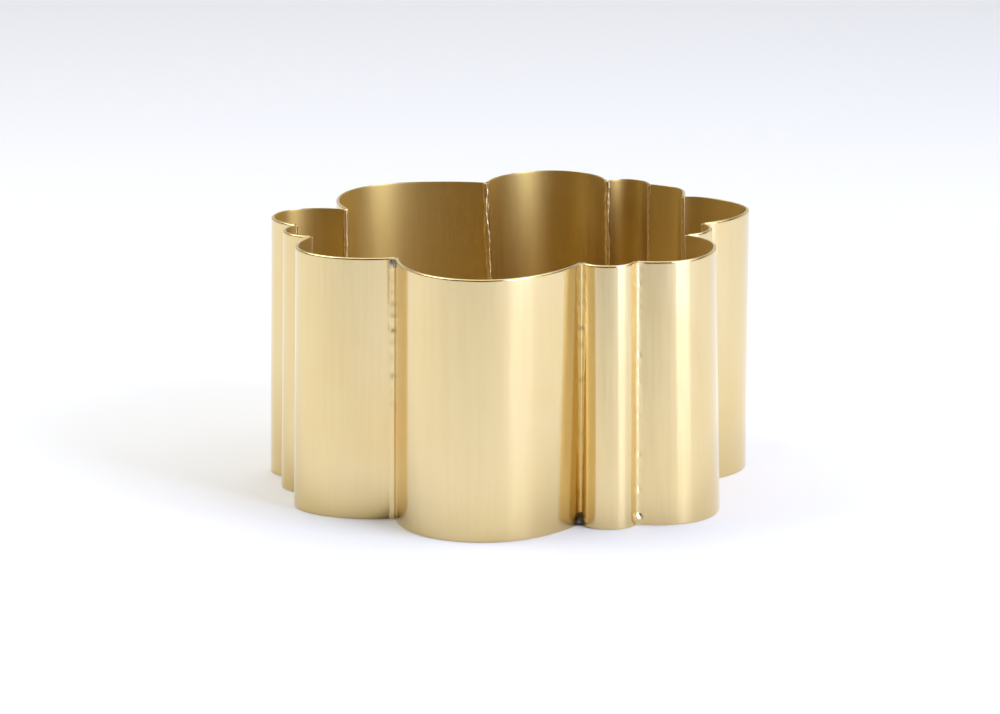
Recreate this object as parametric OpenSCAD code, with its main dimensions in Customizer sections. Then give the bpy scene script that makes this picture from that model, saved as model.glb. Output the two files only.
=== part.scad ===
// Brass planter pot: a cloud-shaped wall of rolled sheet lobes, soldered crease to crease,
// round a flat base plate. Open at the top, the same outline from the table to the rim.
// Millimetres, +Z up, origin on the underside, under the middle of the outline.
// +X is the right of the pot and -Y is its front, where the broadest lobe is.

/* [Pot] */
// Width of the pot, left to right
pot_w = 264; // [180:1:360]
// Height from the table to the rim
pot_h = 146; // [60:1:240]

/* [Sheet] */
// Thickness of the rolled wall sheet
wall_t = 1.6; // [1.2:0.1:2.2]
// Thickness of the base plate
base_t = 1.6; // [1.2:0.1:3]
// Radius that softens the two edges of the rim
rim_r = 0.5; // [0.3:0.1:0.6]

/* [Solder] */
// Radius of the solder bead run down each crease
bead_r = 1.7; // [1.5:0.1:2.2]
// How far inside the crease the bead is centred
bead_in = 0.5; // [0.4:0.1:0.8]
// How far the bead stops below the rim
bead_drop = 0.8; // [0.6:0.1:4]
// Gap between the ends of two panels, which the bead fills
joint_gap = 0.6; // [0.4:0.1:1]
// Leg of the solder fillet between the base plate and the wall
fillet_leg = 2; // [1:0.5:4]

/* [Hidden] */
// One row a lobe, clockwise from above: name, the crease where it starts, and how far
// its arc bulges out past the straight line to the next crease. Drawn at draft size.
LOBES = [
    ["front_left_lobe", [-62.5, -84], 26],
    ["left_small_lobe", [-110, -31], 10],
    ["left_lobe", [-119, -2], 26.5],
    ["back_left_lobe", [-91.5, 39], 35],
    ["back_lobe", [-14, 108], 29],
    ["back_right_small_lobe", [54.5, 113], 8.5],
    ["right_back_small_lobe", [78.5, 104], 8],
    ["right_lobe", [97, 71.5], 30.5],
    ["right_small_lobe", [107, 2], 8],
    ["front_right_lobe", [97.5, -27], 28],
    ["front_small_lobe", [68.5, -93.5], 10],
    ["front_lobe", [38.5, -96.5], 48]
];
COUNT = len(LOBES);
LAST = COUNT - 1;

// The solder bead at the crease where each lobe starts, in the same order
SEAMS = [
    "front_left_crease_solder",
    "left_front_crease_solder",
    "left_back_crease_solder",
    "back_left_crease_solder",
    "back_middle_crease_solder",
    "back_right_crease_solder",
    "right_corner_crease_solder",
    "right_back_crease_solder",
    "right_front_crease_solder",
    "front_right_crease_solder",
    "front_small_crease_solder",
    "front_middle_crease_solder"
];

$fn = 96;
// How far a run of the fillet stops short of the crease at each end, under the bead
run_short = 1;
// How deep the base plate's upper edge is stepped down, where the fillet's solder lies
step_down = 0.4;
brass = [0.84, 0.73, 0.49];
dull_brass = [0.70, 0.58, 0.35];
solder = [0.76, 0.68, 0.50];

function unit(v) = v / norm(v);
function heading(v) = atan2(v.y, v.x);

// Lobe i as [centre of its arc, radius, heading of its middle, half its arc's angle],
// from the crease at each end and the bulge
function arc_of(start, end, bulge) =
    let (
        chord = end - start,
        half = norm(chord) / 2,
        radius = (half * half + bulge * bulge) / (2 * bulge),
        outward = unit([-chord.y, chord.x])
    )
    [(start + end) / 2 + outward * (bulge - radius), radius, heading(outward), atan2(half, radius - bulge)];

drafts = [for (i = [0 : LAST]) arc_of(LOBES[i][1], LOBES[(i + 1) % COUNT][1], LOBES[i][2])];

// The draft outline's limits, which its widest lobes set, and its scale and shift onto the origin
left = min([for (a = drafts) a[0].x - a[1]]);
right = max([for (a = drafts) a[0].x + a[1]]);
front = min([for (a = drafts) a[0].y - a[1]]);
back = max([for (a = drafts) a[0].y + a[1]]);
scale_up = pot_w / (right - left);
middle = [left + right, front + back] / 2;

creases = [for (lobe = LOBES) (lobe[1] - middle) * scale_up];
arcs = [for (a = drafts) [(a[0] - middle) * scale_up, a[1] * scale_up, a[2], a[3]]];

// The bead's middle: inside the crease, half way between the lobes on its two sides
function bead_centre(i) =
    let (
        before = unit(arcs[(i + LAST) % COUNT][0] - creases[i]),
        after = unit(arcs[i][0] - creases[i])
    )
    creases[i] + unit(before + after) * bead_in;

// Sweeps a profile round lobe i, stopping short of the crease at each end
module sweep_lobe(i, short = 0) {
    trim = short / arcs[i][1] * 180 / PI;
    translate(arcs[i][0])
        rotate([0, 0, arcs[i][2] - arcs[i][3] + trim])
            rotate_extrude(angle = 2 * (arcs[i][3] - trim))
                children();
}

// The cut edge of the wall sheet, with a softened rim
module sheet_profile(radius) {
    translate([radius - wall_t, 0]) {
        square([wall_t, pot_h - rim_r]);
        translate([rim_r, 0])
            square([wall_t - 2 * rim_r, pot_h]);
        for (x = [rim_r, wall_t - rim_r])
            translate([x, pot_h - rim_r])
                circle(rim_r);
    }
}

module panel(i) {
    sweep_lobe(i, joint_gap / 2)
        sheet_profile(arcs[i][1]);
}

// One rolled lobe of the wall
module lobe(i) {
    color(brass) panel(i);
}

module bead_rod(i, height) {
    translate(bead_centre(i))
        cylinder(r = bead_r, h = height);
}

// Solder run down one crease: it fills the wedge and the gap between two panels' ends
module crease_solder(i) {
    color(solder)
        difference() {
            bead_rod(i, pot_h - bead_drop);
            panel((i + LAST) % COUNT);
            panel(i);
        }
}

// Everything inside the middle of the wall sheet, up to a height
module inside(height) {
    for (a = arcs)
        translate(a[0])
            cylinder(r = a[1] - wall_t / 2, h = height);
    linear_extrude(height)
        polygon(creases);
}

// Takes the wall panels and the beads away from a piece that lies against them
module clear_of_wall() {
    difference() {
        children();
        for (i = [0 : LAST]) {
            panel(i);
            bead_rod(i, pot_h - bead_drop);
        }
    }
}

// The step in the base plate's upper edge along lobe i's foot
module edge_step(i) {
    inner = arcs[i][1] - wall_t;
    sweep_lobe(i, run_short)
        translate([inner - fillet_leg, base_t - step_down])
            square([fillet_leg + wall_t / 4, base_t]);
}

// The floor inside is the part of the plate that the fillet leaves clear
module base_plate() {
    color(dull_brass)
        difference() {
            clear_of_wall()
                inside(base_t);
            for (i = [0 : LAST])
                edge_step(i);
        }
}

// Solder run round lobe i's foot, from the step in the base plate's edge up the wall
module fillet_run(i) {
    inner = arcs[i][1] - wall_t;
    toe = inner - fillet_leg;
    sweep_lobe(i, run_short)
        polygon([[toe, base_t - step_down], [inner, base_t - step_down], [inner, base_t + fillet_leg], [toe, base_t]]);
}

// The runs round all the lobes' feet, each from one crease's bead to the next
module base_solder_fillet() {
    color(solder)
        for (i = [0 : LAST])
            difference() {
                fillet_run(i);
                for (end = [i, (i + 1) % COUNT])
                    bead_rod(end, pot_h - bead_drop);
            }
}

for (i = [0 : LAST]) {
    lobe(i);
    crease_solder(i);
}
base_plate();
base_solder_fillet();
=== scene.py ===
"""Looks of the brass planter pot: twelve rolled sheet lobes, soldered crease to crease round a base plate.

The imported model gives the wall's outline, the same at every height. The pieces made here start from it
and add what a plain sweep lacks: softened edges, lobes that aren't quite true arcs, a slightly uneven
sheet, a foot that has wandered from the rim, and solder with its ripples and lumps. Lengths are in metres.
"""

import math

import bmesh
import bpy
from mathutils import Matrix, Vector, noise


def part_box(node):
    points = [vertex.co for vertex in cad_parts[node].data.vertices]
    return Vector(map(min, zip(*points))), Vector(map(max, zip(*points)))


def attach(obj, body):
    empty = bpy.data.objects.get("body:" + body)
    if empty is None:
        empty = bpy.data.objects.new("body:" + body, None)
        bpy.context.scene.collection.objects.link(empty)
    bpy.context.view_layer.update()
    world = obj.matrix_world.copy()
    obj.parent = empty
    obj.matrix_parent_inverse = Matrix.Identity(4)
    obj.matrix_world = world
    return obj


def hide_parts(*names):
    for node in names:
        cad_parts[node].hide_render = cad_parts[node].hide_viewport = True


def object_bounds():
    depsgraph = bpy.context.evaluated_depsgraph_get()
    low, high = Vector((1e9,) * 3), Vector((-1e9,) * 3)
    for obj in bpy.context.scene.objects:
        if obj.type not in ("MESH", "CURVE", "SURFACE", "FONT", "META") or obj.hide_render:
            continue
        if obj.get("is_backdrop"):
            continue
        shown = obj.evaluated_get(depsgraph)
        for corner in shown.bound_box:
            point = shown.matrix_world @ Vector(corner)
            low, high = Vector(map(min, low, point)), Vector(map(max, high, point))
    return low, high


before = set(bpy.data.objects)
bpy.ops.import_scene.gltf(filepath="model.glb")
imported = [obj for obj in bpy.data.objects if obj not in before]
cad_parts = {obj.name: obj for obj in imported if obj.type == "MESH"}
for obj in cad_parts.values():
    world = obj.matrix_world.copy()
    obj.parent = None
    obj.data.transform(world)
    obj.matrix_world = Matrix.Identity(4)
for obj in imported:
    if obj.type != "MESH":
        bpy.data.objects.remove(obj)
cad_low, cad_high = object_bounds()

MM = 0.001

# ---------------------------------------------------------------------------
# Named values
# ---------------------------------------------------------------------------

# Each lobe, clockwise from above, with the solder bead at the crease where it starts
LOBES = (
    ("front_left_lobe", "front_left_crease_solder"),
    ("left_small_lobe", "left_front_crease_solder"),
    ("left_lobe", "left_back_crease_solder"),
    ("back_left_lobe", "back_left_crease_solder"),
    ("back_lobe", "back_middle_crease_solder"),
    ("back_right_small_lobe", "back_right_crease_solder"),
    ("right_back_small_lobe", "right_corner_crease_solder"),
    ("right_lobe", "right_back_crease_solder"),
    ("right_small_lobe", "right_front_crease_solder"),
    ("front_right_lobe", "front_right_crease_solder"),
    ("front_small_lobe", "front_small_crease_solder"),
    ("front_lobe", "front_middle_crease_solder"),
)
COUNT = len(LOBES)

# How far each crease has wandered at the foot from its place at the rim, to the right and back, in
# millimetres
FOOT_WANDER = {
    "front_left_crease_solder": (-0.5, -1.0),
    "left_front_crease_solder": (-2.0, 3.0),
    "left_back_crease_solder": (1.0, 8.0),
    "back_left_crease_solder": (-0.7, 1.0),
    "back_middle_crease_solder": (5.0, 0.0),
    "back_right_crease_solder": (2.0, 0.0),
    "right_back_crease_solder": (-0.5, 0.5),
    "right_front_crease_solder": (-1.0, -1.5),
    "front_right_crease_solder": (0.5, -1.0),
    "front_small_crease_solder": (0.0, -5.0),
    "front_middle_crease_solder": (0.0, 2.5),
}

# How much further out each lobe bulges at the foot than at the rim, in millimetres
FOOT_SWELL = {
    "front_left_lobe": -0.5,
    "left_small_lobe": 1.3,
    "left_lobe": 2.5,
    "right_lobe": -0.5,
    "front_right_lobe": 2.5,
    "front_small_lobe": 4.0,
}

# How each lobe differs from a true arc, in millimetres: how far it leans towards its starting crease,
# and how far its shoulders stand out, or are flattened when negative
LOBE_SHAPE = {
    "front_left_lobe": (-0.6, -0.8),
    "left_lobe": (1.5, -1.0),
    "back_left_lobe": (3.0, -1.0),
    "back_lobe": (-1.4, 0.0),
    "right_back_small_lobe": (0.0, -0.6),
    "right_lobe": (2.0, 0.0),
    "front_right_lobe": (0.0, 0.8),
    "front_lobe": (-1.6, -1.7),
}

# The stretch of a lobe where its curve is fuller than that, or flatter when negative: the shares of the
# way along the lobe where it begins and ends, and how far out it goes, in millimetres
LOBE_BELLY = {
    "front_left_lobe": (0.4, 1.0, 2.4),
    "left_lobe": (0.15, 0.85, -1.4),
    "right_lobe": (0.0, 0.55, -3.6),
    "front_right_lobe": (0.3, 1.0, 2.2),
}

SHEET = 1.6 * MM  # thickness of the rolled wall sheet
RIM_OUTER_ROUND = 0.9 * MM  # filed edge of the rim, outside
RIM_INNER_ROUND = 0.15 * MM  # filed edge of the rim, inside
FOOT_ROUND = 0.3 * MM  # filed edge of the foot
COLUMN = 1.2 * MM  # width of one strip of the wall mesh
ROW = 6.0 * MM  # height of one row of the wall mesh
FOOT_ROW = 1.5 * MM  # height of one of the closer rows at the foot
FOOT_ROWS = 8  # how many of those there are
END_SHORT = 0.3 * MM  # how far a panel's end stops short of the crease
SHEET_WAVE = 0.14 * MM  # unevenness of the rolled sheet
WAVE_LENGTH = 34 * MM  # how far apart its waves are

BEAD_IN = 0.5 * MM  # how far inside the crease a bead is centred
BEAD_DROP = 0.6 * MM  # how far a bead stops below the rim
BEAD_RING = 1.1 * MM  # height of one ring of a bead's mesh
OUTER_RUN = 4.0 * MM  # how far the buffed run outside a crease reaches over each panel

PLATE = 1.6 * MM  # thickness of the base plate
PLATE_SAG = 0.25 * MM  # how far the middle of the base plate is dished
PLATE_EDGE = 0.2 * MM  # how far the base plate's lower edge is rounded off
FILLET_LEG = 2.0 * MM  # how far the solder fillet reaches over the plate and up the wall
FILLET_BITE = 0.4 * MM  # how far it goes into the plate and the wall
FILLET_STEPS = 6

pot_top = cad_high.z


# ---------------------------------------------------------------------------
# The wall's outline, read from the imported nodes
# ---------------------------------------------------------------------------

def across(vector):
    """The vector turned a quarter turn to the left, in plan."""
    return Vector((-vector.y, vector.x))


def pointing(angle):
    return Vector((math.cos(angle), math.sin(angle)))


def meeting_point(lines):
    """The point nearest to all these (point, direction) lines in plan."""
    total = Matrix(((0, 0), (0, 0)))
    target = Vector((0, 0))
    for point, direction in lines:
        side = across(direction)
        share = Matrix(((side.x * side.x, side.x * side.y), (side.x * side.y, side.y * side.y)))
        total = total + share
        target = target + share @ point
    return total.inverted() @ target


def node_circle(name):
    """Centre and radius, in plan, of the outer face of a lobe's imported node."""
    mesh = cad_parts[name].data
    upright = [f for f in mesh.polygons if abs(f.normal.z) < 0.01]
    lines = [(f.center.xy, f.normal.xy.normalized()) for f in upright]
    centre = meeting_point(lines)
    skins = [line for line in lines if abs(across(line[1]).dot(centre - line[0])) < 2 * MM]
    centre = meeting_point(skins)
    return centre, max((v.co.xy - centre).length for v in mesh.vertices)


def circles_cross(one, other, near):
    """The crossing of two circles that is nearest to a point."""
    (centre_a, radius_a), (centre_b, radius_b) = one, other
    line = centre_b - centre_a
    reach = (line.length_squared + radius_a ** 2 - radius_b ** 2) / (2 * line.length)
    half = math.sqrt(max(radius_a ** 2 - reach ** 2, 0))
    foot = centre_a + line.normalized() * reach
    choices = [foot + across(line).normalized() * half * side for side in (1, -1)]
    return min(choices, key=lambda point: (point - near).length)


class Arc:
    """A lobe's outer face in plan: its centre, radius, and the headings of its start and end."""

    def __init__(self, start, end, bulge, shape, belly):
        self.lean, self.shoulder = shape
        self.belly = belly
        chord = end - start
        half = chord.length / 2
        outward = across(chord).normalized()
        middle = math.atan2(outward.y, outward.x)
        self.radius = (half ** 2 + bulge ** 2) / (2 * bulge)
        self.centre = (start + end) / 2 + outward * (bulge - self.radius)
        sweep = math.atan2(half, self.radius - bulge)
        self.start = middle + sweep
        self.end = middle - sweep

    def heading(self, share, short=0.0):
        """Heading at a share of the way along, when both ends stop short by a length."""
        trim = short / self.radius
        return (self.start - trim) + (self.end - self.start + 2 * trim) * share

    def point(self, heading, depth=0.0):
        """The point at a heading, a depth in from the outer face."""
        share = (self.start - heading) / (self.start - self.end)
        drift = self.lean * math.sin(2 * math.pi * share) + self.shoulder * math.sin(3 * math.pi * share)
        begins, ends, out = self.belly
        if begins < share < ends:
            drift += out * math.sin(math.pi * (share - begins) / (ends - begins)) ** 2
        return self.centre + pointing(heading) * (self.radius + drift * MM - depth)

    def length(self):
        return self.radius * (self.start - self.end)


rim_circles = [node_circle(lobe) for lobe, seam in LOBES]
rim_creases = []
for index, (lobe, seam) in enumerate(LOBES):
    low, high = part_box(seam)
    rim_creases.append(circles_cross(rim_circles[index - 1], rim_circles[index], ((low + high) / 2).xy))


def rim_bulge(index):
    """How far a lobe's arc stands out from the straight line between its two creases."""
    start, end = rim_creases[index], rim_creases[(index + 1) % COUNT]
    centre, radius = rim_circles[index]
    outward = across(end - start).normalized()
    return radius - outward.dot((start + end) / 2 - centre)


BULGES = [rim_bulge(index) for index in range(COUNT)]
outlines = {}


def outline(height):
    """(creases, arcs) of the wall at a height: the rim's outline, leaning as it nears the foot."""
    key = round(height, 6)
    if key not in outlines:
        footwards = 1 - min(max(height / pot_top, 0), 1)
        creases = []
        for index, (lobe, seam) in enumerate(LOBES):
            wander = Vector(FOOT_WANDER.get(seam, (0, 0))) * MM
            creases.append(rim_creases[index] + wander * footwards)
        arcs = []
        for index, (lobe, seam) in enumerate(LOBES):
            bulge = BULGES[index] + FOOT_SWELL.get(lobe, 0) * MM * footwards
            shape = LOBE_SHAPE.get(lobe, (0, 0))
            belly = LOBE_BELLY.get(lobe, (0, 1, 0))
            arcs.append(Arc(creases[index], creases[(index + 1) % COUNT], bulge, shape, belly))
        outlines[key] = (creases, arcs)
    return outlines[key]


# ---------------------------------------------------------------------------
# Mesh helpers
# ---------------------------------------------------------------------------

SHARP = math.radians(50)


def make_piece(name, build, materials, replaced):
    """Turns a filled bmesh into a smooth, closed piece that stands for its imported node."""
    bmesh.ops.recalc_face_normals(build, faces=build.faces)
    mesh = bpy.data.meshes.new(name)
    build.to_mesh(mesh)
    build.free()
    for polygon in mesh.polygons:
        polygon.use_smooth = True
    mesh.set_sharp_from_angle(angle=SHARP)
    for material in materials:
        mesh.materials.append(material)
    piece = bpy.data.objects.new(name, mesh)
    bpy.context.scene.collection.objects.link(piece)
    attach(piece, "root")
    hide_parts(replaced)


def skin_rings(build, rings, closed=False):
    """Joins equal rings of vertices with quads, and returns the faces, ring by ring."""
    pairs = list(zip(rings, rings[1:] + ([rings[0]] if closed else [])))
    if not closed:
        pairs = pairs[:len(rings) - 1]
    bands = []
    for ring, following in pairs:
        size = len(ring)
        band = []
        for k in range(size):
            after = (k + 1) % size
            band.append(build.faces.new((ring[k], ring[after], following[after], following[k])))
        bands.append(band)
    return bands


def cap(build, ring, centre):
    """Closes a ring with a fan of triangles round a centre point."""
    hub = build.verts.new(centre)
    for k, vertex in enumerate(ring):
        build.faces.new((vertex, ring[(k + 1) % len(ring)], hub))


def quarter_round(radius, steps):
    """Points of a quarter circle as (in from the face, up from its start), both from 0 to radius."""
    angles = [math.pi / 2 * k / steps for k in range(steps + 1)]
    return [(radius * (1 - math.cos(a)), radius * math.sin(a)) for a in angles]


# ---------------------------------------------------------------------------
# Materials
# ---------------------------------------------------------------------------

class Nodes:
    """A material's node tree, with short calls to add and join nodes."""

    def __init__(self, name):
        self.material = bpy.data.materials.new(name)
        self.material.use_nodes = True
        self.tree = self.material.node_tree
        self.shader = self.tree.nodes["Principled BSDF"]
        self.place = self.add("ShaderNodeTexCoord").outputs["Object"]

    def add(self, kind, **settings):
        node = self.tree.nodes.new(kind)
        for key, value in settings.items():
            setattr(node, key, value)
        return node

    def join(self, output, target):
        self.tree.links.new(output, target)

    def stretched(self, scale):
        """Object coordinates scaled by different amounts along X, Y and Z."""
        node = self.add("ShaderNodeMapping")
        node.inputs["Scale"].default_value = scale
        self.join(self.place, node.inputs["Vector"])
        return node.outputs["Vector"]

    def noise(self, scale, detail=3.0, roughness=0.5, vector=None):
        node = self.add("ShaderNodeTexNoise")
        node.inputs["Scale"].default_value = scale
        node.inputs["Detail"].default_value = detail
        node.inputs["Roughness"].default_value = roughness
        self.join(vector or self.place, node.inputs["Vector"])
        return node.outputs["Fac"]

    def attribute(self, name):
        return self.add("ShaderNodeAttribute", attribute_name=name).outputs["Fac"]

    def spread(self, value, low, high, to_low, to_high):
        """Maps a value from low..high onto to_low..to_high, and holds it there."""
        node = self.add("ShaderNodeMapRange")
        node.inputs["From Min"].default_value = low
        node.inputs["From Max"].default_value = high
        node.inputs["To Min"].default_value = to_low
        node.inputs["To Max"].default_value = to_high
        self.join(value, node.inputs["Value"])
        return node.outputs["Result"]

    def maths(self, operation, one, other):
        node = self.add("ShaderNodeMath", operation=operation)
        for socket, value in zip(node.inputs, (one, other)):
            if isinstance(value, (int, float)):
                socket.default_value = value
            else:
                self.join(value, socket)
        return node.outputs["Value"]

    def blend(self, share, one, other):
        """A colour between two, each a triple or another node's colour."""
        node = self.add("ShaderNodeMix", data_type="RGBA")
        self.join(share, node.inputs["Factor"])
        for socket, value in ((node.inputs[6], one), (node.inputs[7], other)):
            if isinstance(value, tuple):
                socket.default_value = (*value, 1)
            else:
                self.join(value, socket)
        return node.outputs[2]

    def bump(self, height, distance, strength=1.0, under=None):
        node = self.add("ShaderNodeBump")
        node.inputs["Strength"].default_value = strength
        node.inputs["Distance"].default_value = distance
        self.join(height, node.inputs["Height"])
        if under is not None:
            self.join(under, node.inputs["Normal"])
        return node.outputs["Normal"]

    def set(self, socket, value):
        if isinstance(value, tuple):
            self.shader.inputs[socket].default_value = (*value, 1)
        elif isinstance(value, (int, float)):
            self.shader.inputs[socket].default_value = value
        else:
            self.join(value, self.shader.inputs[socket])


BRASS = (0.77, 0.615, 0.325)
BRASS_WARM = (0.76, 0.595, 0.295)
FOOT_SHADE_TINT = (0.62, 0.47, 0.20)
AMBER = (0.76, 0.55, 0.25)
RAW_BRASS = (0.72, 0.545, 0.19)
RAW_BRASS_DULL = (0.67, 0.495, 0.165)
SOLDER = (0.86, 0.76, 0.54)
GREY_SOLDER = (0.42, 0.39, 0.34)
FLUX_AND_PAINTED_SHADE = (0.10, 0.07, 0.03)


def polished_outside():
    """Bright sheet: faint rolling marks, a few amber stains, painted shade towards the foot, and a painted
    dark patch of shade by one crease foot.
    """
    m = Nodes("polished_brass_outside")
    cloud = m.noise(14, detail=4)
    tone = m.blend(m.spread(cloud, 0.35, 0.65, 0, 1), BRASS, BRASS_WARM)
    tone = m.blend(m.spread(m.noise(19, detail=2), 0.60, 0.78, 0, 0.6), tone, AMBER)
    # Painted shade: a darker, warmer tint towards the foot, standing in for the shaded floor that the sheet
    # reflects there
    foot_shade = m.maths("MULTIPLY", m.attribute("painted_foot_shade"), m.spread(m.noise(40), 0.3, 0.7, 0.55, 1))
    tone = m.blend(foot_shade, tone, FOOT_SHADE_TINT)
    # Painted shade: the dark patch by the front left lobe's crease foot stands in for the shaded corner it
    # reflects; the same dark colour also serves the solder's real flux stains
    m.set("Base Color", m.blend(m.attribute("painted_corner_shade"), tone, FLUX_AND_PAINTED_SHADE))
    m.set("Metallic", 1.0)
    drawn = m.noise(60, detail=5, roughness=0.6, vector=m.stretched((6, 6, 0.25)))
    m.set("Roughness", m.spread(drawn, 0.3, 0.7, 0.13, 0.19))
    m.set("Anisotropic", 0.8)
    m.set("Anisotropic Rotation", 0.25)
    m.set("Coat Weight", 0.3)
    m.set("Coat Roughness", 0.25)
    m.set("Normal", m.bump(drawn, 0.02 * MM, 0.25))
    return m.material


def satin_inside():
    """Raw sheet, as rolled: satin, with a fine upright grain and dull patches."""
    m = Nodes("satin_brass_inside")
    patches = m.noise(22, detail=6, roughness=0.6)
    m.set("Base Color", m.blend(m.spread(patches, 0.35, 0.68, 0, 1), RAW_BRASS, RAW_BRASS_DULL))
    m.set("Metallic", 1.0)
    grain = m.noise(80, detail=6, roughness=0.65, vector=m.stretched((5, 5, 0.2)))
    dullness = m.maths("ADD", grain, m.maths("MULTIPLY", patches, 0.5))
    m.set("Roughness", m.spread(dullness, 0.5, 1.0, 0.42, 0.52))
    m.set("Anisotropic", 0.3)
    m.set("Anisotropic Rotation", 0.25)
    speck = m.noise(900, detail=3)
    m.set("Normal", m.bump(grain, 0.03 * MM, 0.35, under=m.bump(speck, 0.01 * MM, 0.3)))
    return m.material


def filed_edge():
    """The rim and foot, filed and buffed after cutting: fine marks along the edge."""
    m = Nodes("filed_brass_edge")
    marks = m.noise(700, detail=4, roughness=0.7, vector=m.stretched((1, 1, 6)))
    m.set("Base Color", m.blend(m.spread(marks, 0.3, 0.7, 0, 1), BRASS, RAW_BRASS))
    m.set("Metallic", 1.0)
    m.set("Roughness", m.spread(marks, 0.3, 0.7, 0.14, 0.26))
    m.set("Normal", m.bump(marks, 0.01 * MM, 0.4))
    return m.material


def crease_solder():
    """Brazed bead: pale gold where it is buffed, grey where it is thick, brown where flux stayed."""
    m = Nodes("crease_solder")
    mottle = m.noise(420, detail=5, roughness=0.6)
    tone = m.blend(m.spread(mottle, 0.3, 0.7, 0, 1), SOLDER, RAW_BRASS)
    grey = m.maths("MULTIPLY", m.attribute("thick_solder"), m.spread(mottle, 0.25, 0.6, 0.6, 1))
    tone = m.blend(grey, tone, GREY_SOLDER)
    stain = m.maths("MULTIPLY", m.attribute("flux_stain"), m.spread(m.noise(900), 0.35, 0.6, 0.2, 1))
    m.set("Base Color", m.blend(stain, tone, FLUX_AND_PAINTED_SHADE))
    m.set("Metallic", 1.0)
    m.set("Roughness", m.spread(mottle, 0.3, 0.7, 0.28, 0.42))
    m.set("Anisotropic", 0.7)
    m.set("Anisotropic Rotation", 0.25)
    m.set("Normal", m.bump(mottle, 0.04 * MM, 0.4))
    return m.material


def base_sheet():
    """The base plate and its solder fillet: dull, unpolished, with swirled marks."""
    m = Nodes("dull_base_brass")
    patches = m.noise(30, detail=6, roughness=0.6)
    m.set("Base Color", m.blend(m.spread(patches, 0.35, 0.68, 0, 1), RAW_BRASS, RAW_BRASS_DULL))
    m.set("Metallic", 1.0)
    swirl = m.noise(260, detail=6, roughness=0.7)
    m.set("Roughness", m.spread(swirl, 0.3, 0.7, 0.36, 0.5))
    m.set("Normal", m.bump(swirl, 0.03 * MM, 0.3))
    return m.material


outside = polished_outside()
inside = satin_inside()
edge = filed_edge()
solder = crease_solder()
dull = base_sheet()


# ---------------------------------------------------------------------------
# The wall's panels
# ---------------------------------------------------------------------------

OUTSIDE, INSIDE, EDGE = 0, 1, 2
FOOT_SHADE_REACH = 34 * MM  # how far up from the foot the painted shade reaches, a darker, warmer tint standing in for the shaded floor the sheet reflects

# How strong that painted shade is on a lobe
FOOT_SHADE_MOST = {"front_left_lobe": 1.0, "left_small_lobe": 0.8, "front_lobe": 0.75}
FOOT_SHADE_USUAL = 0.3

# Painted shade at a panel's foot by the crease where it starts, a dark patch standing in for the shaded
# corner it reflects: how far it reaches along and up, in millimetres
CORNER_SHADE = {"front_left_lobe": (15.0, 8.5)}
CORNER_SHADE_MOST = 0.92


def wall_rows():
    """Heights of the rows up a panel's faces, closer together at the foot and the rim."""
    low = FOOT_ROUND
    high = pot_top - RIM_OUTER_ROUND
    margin = 0.5 * MM
    fine = [low + margin + FOOT_ROW * k for k in range(FOOT_ROWS)]
    base = low + margin + FOOT_ROW * FOOT_ROWS
    count = round((high - base) / ROW)
    middle = [base + (high - margin - base) * k / count for k in range(count + 1)]
    return [low, *fine, *middle, high]


def sheet_profile():
    """The panel's section as (depth in from the outer face, height, which face it starts)."""
    rows = wall_rows()
    profile = [(0.0, z, OUTSIDE) for z in rows[:-1]]
    top = pot_top - RIM_OUTER_ROUND
    profile += [(x, top + z, EDGE) for x, z in quarter_round(RIM_OUTER_ROUND, 6)]
    top = pot_top - RIM_INNER_ROUND
    inner = [(SHEET - x, top + z, EDGE) for x, z in quarter_round(RIM_INNER_ROUND, 4)]
    profile += inner[::-1]
    profile[-1] = (SHEET, top, INSIDE)
    profile += [(SHEET, z, INSIDE) for z in rows[-2::-1]]
    profile[-1] = (SHEET, FOOT_ROUND, EDGE)
    rounded = quarter_round(FOOT_ROUND, 2)
    profile += [(SHEET - x, FOOT_ROUND - z, EDGE) for x, z in rounded[1:]]
    profile += [(x, FOOT_ROUND - z, EDGE) for x, z in rounded[:0:-1]]
    return profile


def sheet_wave(point, height, seed):
    """How far the uneven sheet stands out or in at a place."""
    place = Vector((point.x, point.y, height * 0.6)) / WAVE_LENGTH
    return SHEET_WAVE * noise.noise(place + Vector((seed, 0, 0)))


def corner_shade_at(lobe, along, height):
    """How strong the painted corner shade is at a place on a panel, from 0 to 1."""
    if lobe not in CORNER_SHADE:
        return 0.0
    reach, rise = CORNER_SHADE[lobe]
    share = 1.25 - along / MM / reach - height / MM / rise
    return CORNER_SHADE_MOST * min(1, max(0, share)) ** 1.5


def make_panel(index):
    lobe = LOBES[index][0]
    profile = sheet_profile()
    arc = outline(pot_top)[1][index]
    columns = max(12, round(arc.length() / COLUMN))
    build = bmesh.new()
    painted_foot_shade = build.verts.layers.float.new("painted_foot_shade")
    painted_corner_shade = build.verts.layers.float.new("painted_corner_shade")
    rings = []
    for k in range(columns + 1):
        ring = []
        for depth, height, face in profile:
            arc = outline(height)[1][index]
            heading = arc.heading(k / columns, END_SHORT)
            outer = arc.point(heading)
            calm = min(1, min(k, columns - k) / 4)
            shift = sheet_wave(outer, height, index) * calm
            place = arc.point(heading, depth - shift)
            vertex = build.verts.new((place.x, place.y, height))
            # Painted shade towards the foot, strongest on the front lobes
            vertex[painted_foot_shade] = max(0, 1 - height / FOOT_SHADE_REACH) ** 2 * FOOT_SHADE_MOST.get(lobe, FOOT_SHADE_USUAL)
            # Painted shade by the crease foot
            vertex[painted_corner_shade] = corner_shade_at(lobe, k / columns * arc.length(), height)
            ring.append(vertex)
        rings.append(ring)
    for band in skin_rings(build, rings):
        for k, face in enumerate(band):
            face.material_index = profile[k][2]
    for ring in (rings[0], rings[-1]):
        close_end(build, ring, profile)
    make_piece(lobe + "_sheet", build, (outside, inside, edge), lobe)


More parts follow.
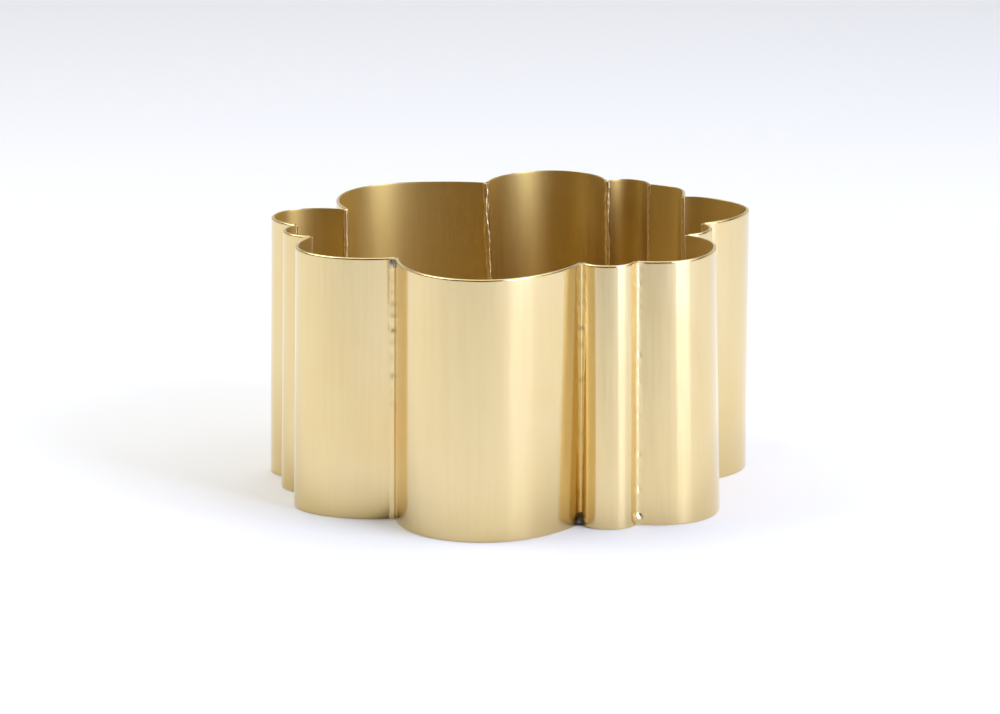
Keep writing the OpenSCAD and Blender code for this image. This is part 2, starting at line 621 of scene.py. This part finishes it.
def close_end(build, ring, profile):
    """Fills a panel's cut end, between its outer and inner faces."""
    outer = [v for v, p in zip(ring, profile) if p[0] == 0 and p[1] >= FOOT_ROUND]
    inner = [v for v, p in zip(ring, profile) if p[0] == SHEET and p[1] >= FOOT_ROUND][::-1]
    rows = min(len(outer), len(inner))
    outer_row, inner_row = outer[:rows], inner[:rows]
    for k in range(rows - 1):
        face = build.faces.new((outer_row[k], outer_row[k + 1], inner_row[k + 1], inner_row[k]))
        face.material_index = EDGE
    first, last = ring.index(outer_row[-1]), ring.index(inner_row[-1])
    build.faces.new(ring[first:last + 1]).material_index = EDGE
    first, last = ring.index(inner_row[0]), ring.index(outer_row[0])
    build.faces.new(ring[first:] + ring[:last + 1]).material_index = EDGE


for index in range(COUNT):
    make_panel(index)


# ---------------------------------------------------------------------------
# Solder
# ---------------------------------------------------------------------------

RUN_STEPS = 12
RUN_HOLLOW = 0.08  # how hollow the outer run is: 0 lies in the crease, 1 is flat across it
BEAD_STEPS = 16
BEAD_OPEN = math.radians(70)  # how far round from the crease the bead's round side begins
BEAD_ROUND = math.radians(220)  # how far round it goes
BEAD_CROWN = 0.25 * MM  # how far the bead's top is domed

# Beads that differ from the usual: ripple and sideways wander of the inner bead, in millimetres
RIPPLE = {"back_middle_crease_solder": 0.34, "back_right_crease_solder": 0.30}
SWAY = {"back_middle_crease_solder": 0.9, "back_right_crease_solder": 0.5}
USUAL_RIPPLE = 0.06
USUAL_SWAY = 0.25

# Radius of the inner bead, in millimetres
THICKNESS = {"back_middle_crease_solder": 1.9, "back_right_crease_solder": 1.6}
USUAL_THICKNESS = 1.45

SOLDERED, BUFFED = 0, 1

# Lumps outside a crease: height of the middle, how far it reaches up and down, how far it stands out and
# spreads sideways, all in millimetres, and how grey and how flux-stained it is
LUMPS = {
    "front_left_crease_solder": ((143.0, 3.0, 1.2, 0.0, 0.6, 0.2),),
    "front_middle_crease_solder": ((1.5, 4.0, 0.8, 5.0, 0.8, 0.45),),
    "front_small_crease_solder": ((4.0, 2.0, 0.7, 0.0, 0.1, 0.0),),
}
LUMP_SHOWS = 0.12  # how grey the outer run is where it stops looking buffed


def lump_at(seam, height):
    """(how far the lumps stand out, how far they spread, how grey and how stained they are) at a height."""
    out = spread = grey = stain = 0.0
    for middle, reach, size, width, greyness, staining in LUMPS.get(seam, ()):
        share = math.exp(-((height / MM - middle) / reach) ** 2 * 2)
        out += size * MM * share
        spread += width * MM * share
        grey = max(grey, greyness * share)
        stain = max(stain, staining * share)
    return out, spread, min(1, grey * 1.5), min(1, stain * 1.5)


def run_section(index, height, width):
    """The outer, hollow run of solder at a crease, from the panel before to the panel after."""
    creases, arcs = outline(height)
    crease, before, after = creases[index], arcs[index - 1], arcs[index]
    start = before.point(before.end + width / before.radius)
    end = after.point(after.start - width / after.radius)
    middle = crease.lerp((start + end) / 2, RUN_HOLLOW)
    points = []
    for k in range(RUN_STEPS + 1):
        t = k / RUN_STEPS
        points.append(start * (1 - t) ** 2 + middle * 2 * t * (1 - t) + end * t ** 2)
    return points


def bead_frame(index, height):
    """A crease's place at a height, and the way from it to the inside of the pot."""
    creases, arcs = outline(height)
    crease = creases[index]
    inward = (arcs[index - 1].centre - crease).normalized() + (arcs[index].centre - crease).normalized()
    return crease, inward.normalized()


def make_bead(index):
    lobe, seam = LOBES[index]
    ripple = RIPPLE.get(seam, USUAL_RIPPLE) * MM
    sway = SWAY.get(seam, USUAL_SWAY) * MM
    size = THICKNESS.get(seam, USUAL_THICKNESS) * MM
    top = pot_top - BEAD_DROP
    count = round(top / BEAD_RING)
    build = bmesh.new()
    greyness = build.verts.layers.float.new("thick_solder")
    staining = build.verts.layers.float.new("flux_stain")
    rings = []
    for k in range(count + 1):
        height = top * k / count
        crease, inward = bead_frame(index, height)
        side = across(inward)
        out, spread, grey, stain = lump_at(seam, height)
        drift = noise.noise(Vector((index * 7.3, height / (28 * MM), 0)))
        middle = crease + inward * BEAD_IN + side * drift * sway
        width = OUTER_RUN * (1 + 0.2 * noise.noise(Vector((index * 3.1, height / (5 * MM), 4))))
        run = run_section(index, height, width + spread)
        ring = []
        for t, point in enumerate(run):
            share = math.sin(math.pi * t / RUN_STEPS)
            rough = 1 + 0.6 * noise.noise(Vector((index * 2.3 + t * 0.7, height / (2.5 * MM), 7)))
            ring.append(point - inward * out * share * rough)
        first = math.atan2(-inward.y, -inward.x)
        for t in range(BEAD_STEPS + 1):
            turn = first - BEAD_OPEN - BEAD_ROUND * t / BEAD_STEPS
            rough = noise.noise(Vector((index * 5.7 + math.cos(turn), height / (4 * MM), math.sin(turn))))
            ring.append(middle + pointing(turn) * (size + ripple * rough * 2))
        made = []
        for point in ring:
            vertex = build.verts.new((point.x, point.y, height))
            vertex[greyness] = grey
            vertex[staining] = stain
            made.append(vertex)
        rings.append(made)
    for band in skin_rings(build, rings):
        for face in band[:RUN_STEPS]:
            lumpy = max(vertex[greyness] for vertex in face.verts)
            face.material_index = SOLDERED if lumpy > LUMP_SHOWS else BUFFED
    crease, inward = bead_frame(index, top)
    crown = crease + inward * BEAD_IN
    cap(build, rings[-1], (crown.x, crown.y, top + BEAD_CROWN))
    crease, inward = bead_frame(index, 0)
    heel = crease + inward * BEAD_IN
    cap(build, rings[0], (heel.x, heel.y, 0))
    make_piece(seam + "_bead", build, (solder, outside), seam)


for index in range(COUNT):
    make_bead(index)


# ---------------------------------------------------------------------------
# Base plate and its solder fillet
# ---------------------------------------------------------------------------

def inner_path(height, depth):
    """Points round the inside of the wall at a height, clockwise from above."""
    points = []
    arcs = outline(height)[1]
    for index, arc in enumerate(arcs):
        steps = max(8, round(arc.length() / (2 * COLUMN)))
        for k in range(steps + 1):
            points.append(arc.point(arc.heading(k / steps, 2 * END_SHORT), depth))
    return points


def make_base_plate():
    build = bmesh.new()
    path = inner_path(0, SHEET / 2)
    rings = []
    for share, height in ((0.3, 0), (0.7, 0), (1, PLATE_EDGE), (1, PLATE)):
        rings.append([build.verts.new((p.x * share, p.y * share, height)) for p in path])
    for share in (0.97, 0.85, 0.7, 0.5, 0.3, 0.12):
        ring = []
        for p in path:
            place = p * share
            wave = noise.noise(Vector((place.x, place.y, 0)) / (50 * MM))
            dip = PLATE_SAG * (0.6 + 0.4 * wave) * (1 - share)
            ring.append(build.verts.new((place.x, place.y, PLATE - dip)))
        rings.append(ring)
    skin_rings(build, rings)
    cap(build, rings[0], (0, 0, 0))
    cap(build, rings[-1], (0, 0, PLATE - PLATE_SAG * 0.6))
    make_piece("base_plate_sheet", build, (dull,), "base_plate")


def make_base_fillet():
    build = bmesh.new()
    path = inner_path(PLATE, SHEET)
    size = len(path)
    rings = []
    for k, point in enumerate(path):
        along = (path[(k + 1) % size] - path[k - 1]).normalized()
        inward = -across(along)
        leg = FILLET_LEG * (1 + 0.25 * noise.noise(Vector((point.x, point.y, 9)) / (6 * MM)))
        section = [(-FILLET_BITE, -FILLET_BITE), (leg, -FILLET_BITE), (leg, 0)]
        for step in range(1, FILLET_STEPS):
            turn = math.pi / 2 * step / FILLET_STEPS
            section.append((leg * (1 - math.sin(turn)), leg * (1 - math.cos(turn))))
        section.append((0, leg))
        section.append((-FILLET_BITE, leg))
        ring = []
        for out, up in section:
            place = point + inward * out
            ring.append(build.verts.new((place.x, place.y, PLATE + up)))
        rings.append(ring)
    skin_rings(build, rings, closed=True)
    make_piece("base_fillet_run", build, (solder,), "base_solder_fillet")


make_base_plate()
make_base_fillet()


# ---------------------------------------------------------------------------
# Floor, light and camera
# ---------------------------------------------------------------------------

FLOOR_SIZE = 9.0
FLOOR_GAP = 0.05 * MM  # how far the floor lies below the pot
FLOOR_TONE = (0.86, 0.865, 0.875)


def make_floor():
    build = bmesh.new()
    bmesh.ops.create_grid(build, x_segments=8, y_segments=8, size=FLOOR_SIZE / 2)
    mesh = bpy.data.meshes.new("floor")
    build.to_mesh(mesh)
    build.free()
    m = Nodes("pale_floor")
    m.set("Base Color", FLOOR_TONE)
    m.set("Roughness", 0.9)
    m.set("Specular IOR Level", 0.1)
    mesh.materials.append(m.material)
    floor = bpy.data.objects.new("floor", mesh)
    floor.location.z = -FLOOR_GAP
    bpy.context.scene.collection.objects.link(floor)
    floor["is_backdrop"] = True


def make_softbox(name, azimuth, elevation, distance, size, power, colour=(1, 1, 1), aim=(0, 0, 0.07)):
    """A soft light aimed at the pot. Azimuth 0 is in front of it and 90 is on its right, in degrees."""
    turn, rise = math.radians(azimuth), math.radians(elevation)
    away = Vector((math.sin(turn) * math.cos(rise), -math.cos(turn) * math.cos(rise), math.sin(rise)))
    lamp = bpy.data.lights.new(name, "AREA")
    lamp.shape = "RECTANGLE"
    lamp.size, lamp.size_y = size
    lamp.energy = power
    lamp.color = colour
    light = bpy.data.objects.new(name, lamp)
    light.location = Vector(aim) + away * distance
    light.rotation_mode = "QUATERNION"
    light.rotation_quaternion = away.to_track_quat("Z", "Y")
    light.visible_camera = False
    bpy.context.scene.collection.objects.link(light)


COOL = (0.66, 0.72, 1.0)
ROOM_LIGHT = 0.03  # how bright the room in front of the pot is
BACKDROP_LIGHT = 0.95  # how bright the backdrop is to the pot
SEEN_LIGHT = 1.05  # how bright the backdrop is to the camera


def make_world():
    """A white backdrop behind the pot, a dim room in front of it, and plain white for the camera."""
    world = bpy.data.worlds.new("studio")
    world.use_nodes = True
    tree = world.node_tree
    tree.nodes.clear()
    place = tree.nodes.new("ShaderNodeTexCoord")
    split = tree.nodes.new("ShaderNodeSeparateXYZ")
    behind = tree.nodes.new("ShaderNodeMapRange")
    behind.interpolation_type = "SMOOTHSTEP"
    behind.inputs["From Min"].default_value = 0.1
    behind.inputs["From Max"].default_value = 0.5
    lowness = tree.nodes.new("ShaderNodeMapRange")
    lowness.interpolation_type = "SMOOTHSTEP"
    lowness.inputs["From Min"].default_value = 0.6
    lowness.inputs["From Max"].default_value = 0.3
    both = tree.nodes.new("ShaderNodeMath")
    both.operation = "MULTIPLY"
    ramp = tree.nodes.new("ShaderNodeMapRange")
    ramp.inputs["To Min"].default_value = ROOM_LIGHT
    ramp.inputs["To Max"].default_value = BACKDROP_LIGHT
    seen = tree.nodes.new("ShaderNodeLightPath")
    room = tree.nodes.new("ShaderNodeBackground")
    white = tree.nodes.new("ShaderNodeBackground")
    white.inputs["Strength"].default_value = SEEN_LIGHT
    mix = tree.nodes.new("ShaderNodeMixShader")
    out = tree.nodes.new("ShaderNodeOutputWorld")
    join = tree.links.new
    join(place.outputs["Generated"], split.inputs["Vector"])
    join(split.outputs["Y"], behind.inputs["Value"])
    join(split.outputs["Z"], lowness.inputs["Value"])
    join(behind.outputs["Result"], both.inputs[0])
    join(lowness.outputs["Result"], both.inputs[1])
    join(both.outputs["Value"], ramp.inputs["Value"])
    join(ramp.outputs["Result"], room.inputs["Strength"])
    join(seen.outputs["Is Camera Ray"], mix.inputs["Fac"])
    join(room.outputs["Background"], mix.inputs[1])
    join(white.outputs["Background"], mix.inputs[2])
    join(mix.outputs["Shader"], out.inputs["Surface"])
    bpy.context.scene.world = world


CAMERA_LENS = 391.9
CAMERA_ELEVATION = math.radians(13.24)
CAMERA_DISTANCE = 6.003
AIM_SHIFT = Vector((-6.3, -10.3, 0)) * MM


def make_camera():
    """A long lens, low in front of the pot."""
    aim = (cad_low + cad_high) / 2 + AIM_SHIFT
    back = Vector((0, -math.cos(CAMERA_ELEVATION), math.sin(CAMERA_ELEVATION)))
    data = bpy.data.cameras.new("camera")
    data.lens = CAMERA_LENS
    data.sensor_width = 36
    data.clip_end = 50
    camera = bpy.data.objects.new("camera", data)
    camera.location = aim + back * CAMERA_DISTANCE
    camera.rotation_euler = (math.pi / 2 - CAMERA_ELEVATION, 0, 0)
    bpy.context.scene.collection.objects.link(camera)
    bpy.context.scene.camera = camera


make_floor()
make_world()
make_softbox("overhead_softbox", -165, 74, 2.4, (3.4, 3.4), 55)
make_softbox("key_softbox", 53, 22, 2.4, (1.3, 2.0), 69, COOL)
make_softbox("left_floor_softbox", -90, 62, 1.5, (1.0, 1.0), 12, aim=(-0.45, 0, 0))
make_softbox("right_floor_softbox", 90, 65, 1.5, (1.0, 1.0), 7, aim=(0.55, 0, 0))
make_camera()

scene = bpy.context.scene
scene.view_settings.view_transform = "Standard"
scene.cycles.glossy_bounces = 12

low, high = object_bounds()
